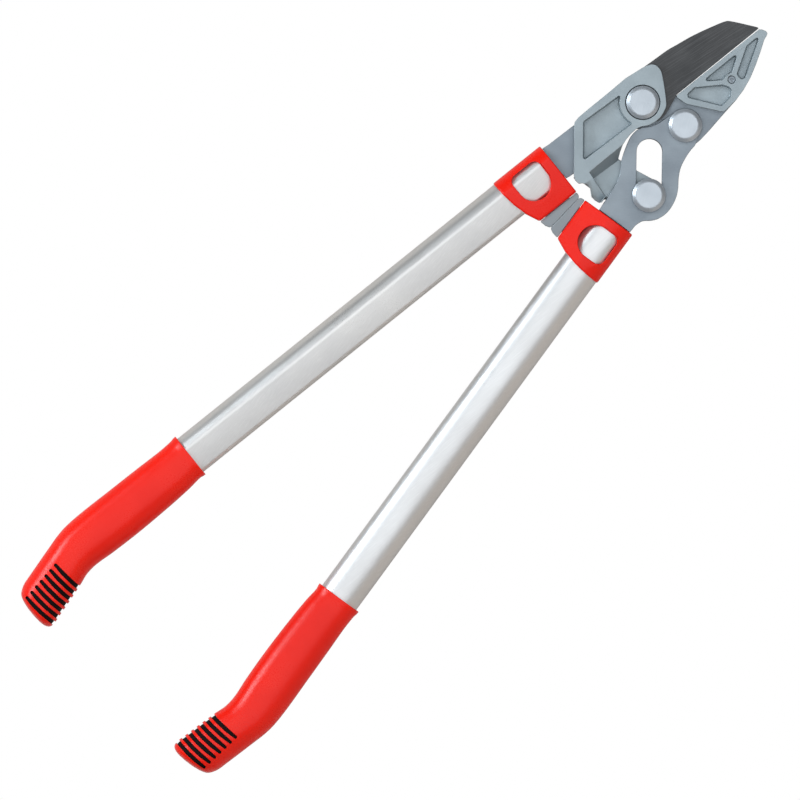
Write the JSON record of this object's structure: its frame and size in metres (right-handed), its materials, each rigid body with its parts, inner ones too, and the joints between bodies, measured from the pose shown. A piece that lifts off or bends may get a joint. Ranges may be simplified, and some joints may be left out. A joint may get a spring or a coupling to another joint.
{
  "type": "pruning shears",
  "caption": "Long-handled anvil lopper whose right handle drives the blade through a slotted lever, for cutting branches by hand.",
  "frame": {"origin": "centre of the bounding box's underside, where the tool lies on a flat surface", "axes": "+Y along the tool towards the jaws, +Z out of the front face, +X to the right when the jaws point away"},
  "size_m": [0.2186, 0.7046, 0.033],
  "materials": {
    "plate_steel": "ground steel, fine brushed grain",
    "cast_alloy": "cast, matt with a fine skin",
    "bright_steel": "turned, satin",
    "coated_blade": "dark low-friction coating, satin",
    "tube_metal": "plated oval tube, satin",
    "red_plastic": "moulded, semi-gloss",
    "black_rubber": "matt soft inlay",
    "grey_plastic": "moulded, matt"
  },
  "bodies": {
    "anvil_lever": {"anvil_lever_plate": "plate_steel", "anvil": "cast_alloy", "anvil_screw": "bright_steel", "anvil_dowel": "bright_steel", "blade_pivot_bolt": "bright_steel", "blade_pivot_nut": "plate_steel", "blade_pivot_washer": "bright_steel", "blade_pivot_spacer": "plate_steel", "handle_pivot_bolt": "bright_steel", "handle_pivot_nut": "plate_steel", "handle_pivot_washer": "bright_steel", "left_tube": "tube_metal", "left_tube_insert": "grey_plastic", "left_collar": "red_plastic", "left_stop_block": "grey_plastic", "left_grip": "red_plastic", "left_grip_core": "black_rubber", "left_upper_rivet": "bright_steel", "left_lower_rivet": "bright_steel"},
    "blade_lever": {"blade": "coated_blade", "blade_carrier": "cast_alloy", "blade_dowel_outer": "bright_steel", "blade_dowel_inner": "bright_steel", "drive_pin": "bright_steel", "drive_pin_nut": "plate_steel", "drive_pin_washer": "bright_steel", "drive_pin_rear_bush": "plate_steel"},
    "drive_roller": {"drive_roller": "bright_steel"},
    "power_lever": {"power_lever": "plate_steel", "power_lever_rear_plate": "plate_steel", "rear_plate_rivet_inner": "bright_steel", "rear_plate_rivet_outer": "bright_steel", "right_tube": "tube_metal", "right_tube_insert": "grey_plastic", "right_collar": "red_plastic", "right_stop_block": "grey_plastic", "right_grip": "red_plastic", "right_grip_core": "black_rubber", "right_upper_rivet": "bright_steel", "right_lower_rivet": "bright_steel"}
  },
  "joints": [
    {"name": "handle_pivot", "type": "hinge", "parent": "anvil_lever", "child": "power_lever", "pos_m": [0.02015, 0.2582, 0.0165], "axis": [0, 0, 1], "range_deg": [0, 60]},
    {"name": "blade_pivot", "type": "hinge", "parent": "anvil_lever", "child": "blade_lever", "pos_m": [-0.0151, 0.2486, 0.0165], "axis": [0, 0, 1], "range_deg": [0, 36.3]},
    {"name": "drive_roller_spin", "type": "hinge", "parent": "blade_lever", "child": "drive_roller", "pos_m": [0.0369, 0.2009, 0.0165], "axis": [0, 0, 1], "continuous": true}
  ],
  "couplings": [
    {"joint": "blade_pivot", "follows": "handle_pivot", "ratio": 0.6}
  ]
}
